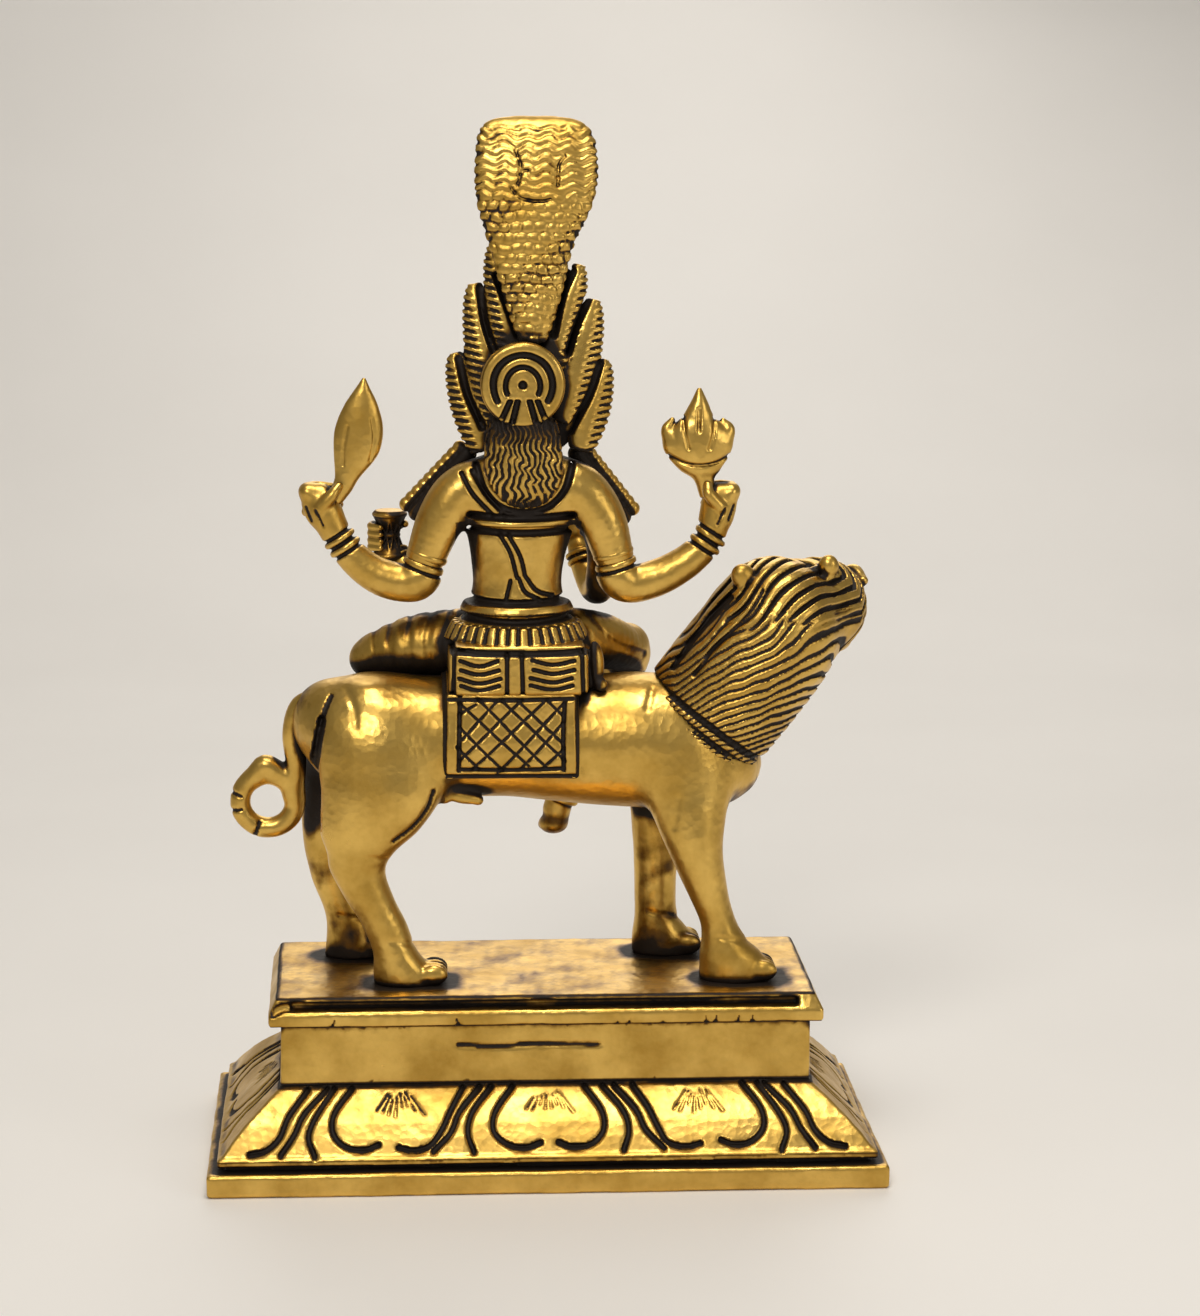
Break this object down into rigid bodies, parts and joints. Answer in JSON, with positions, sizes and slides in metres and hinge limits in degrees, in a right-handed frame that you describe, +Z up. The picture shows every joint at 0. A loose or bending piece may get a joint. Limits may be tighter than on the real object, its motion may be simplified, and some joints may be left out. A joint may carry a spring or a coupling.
{
  "type": "brass deity statuette",
  "caption": "Cast brass statuette of a multi-armed seated deity riding a lion under a cobra-hood canopy, on a stepped lotus-petal plinth.",
  "frame": {"origin": "centre of the plinth's underside", "axes": "+Z up, the lion walks along +X, and the deity faces +Y with her back to -Y"},
  "size_m": [0.129, 0.068, 0.1998],
  "materials": {
    "brass": "sand cast and hand chased, polished on the high parts, with a dark brown patina left in the recesses",
    "steel": "plain turned steel, hidden inside the casting"
  },
  "bodies": {
    "root": {"plinth": "brass", "paw_screws": "steel", "paw_washers": "steel", "seat_stud": "steel", "lion_body": "brass", "lion_right_foreleg": "brass", "lion_left_foreleg": "brass", "lion_right_hindleg": "brass", "lion_left_hindleg": "brass", "lion_head": "brass", "lion_tail": "brass", "saddle_cloth": "brass", "torso": "brass", "rear_left_forearm": "brass", "rear_right_forearm": "brass", "front_left_arm": "brass", "front_right_arm": "brass", "folded_leg": "brass", "pendant_leg": "brass", "head": "brass", "head_disc": "brass", "back_hair": "brass", "crown": "brass", "ear_pendants": "brass", "middle_hood": "brass", "left_hoods": "brass", "right_hoods": "brass", "left_garland": "brass", "right_garland": "brass", "leaf_blade": "brass", "flame_bowl": "brass", "hand_drum": "brass"}
  },
  "joints": []
}
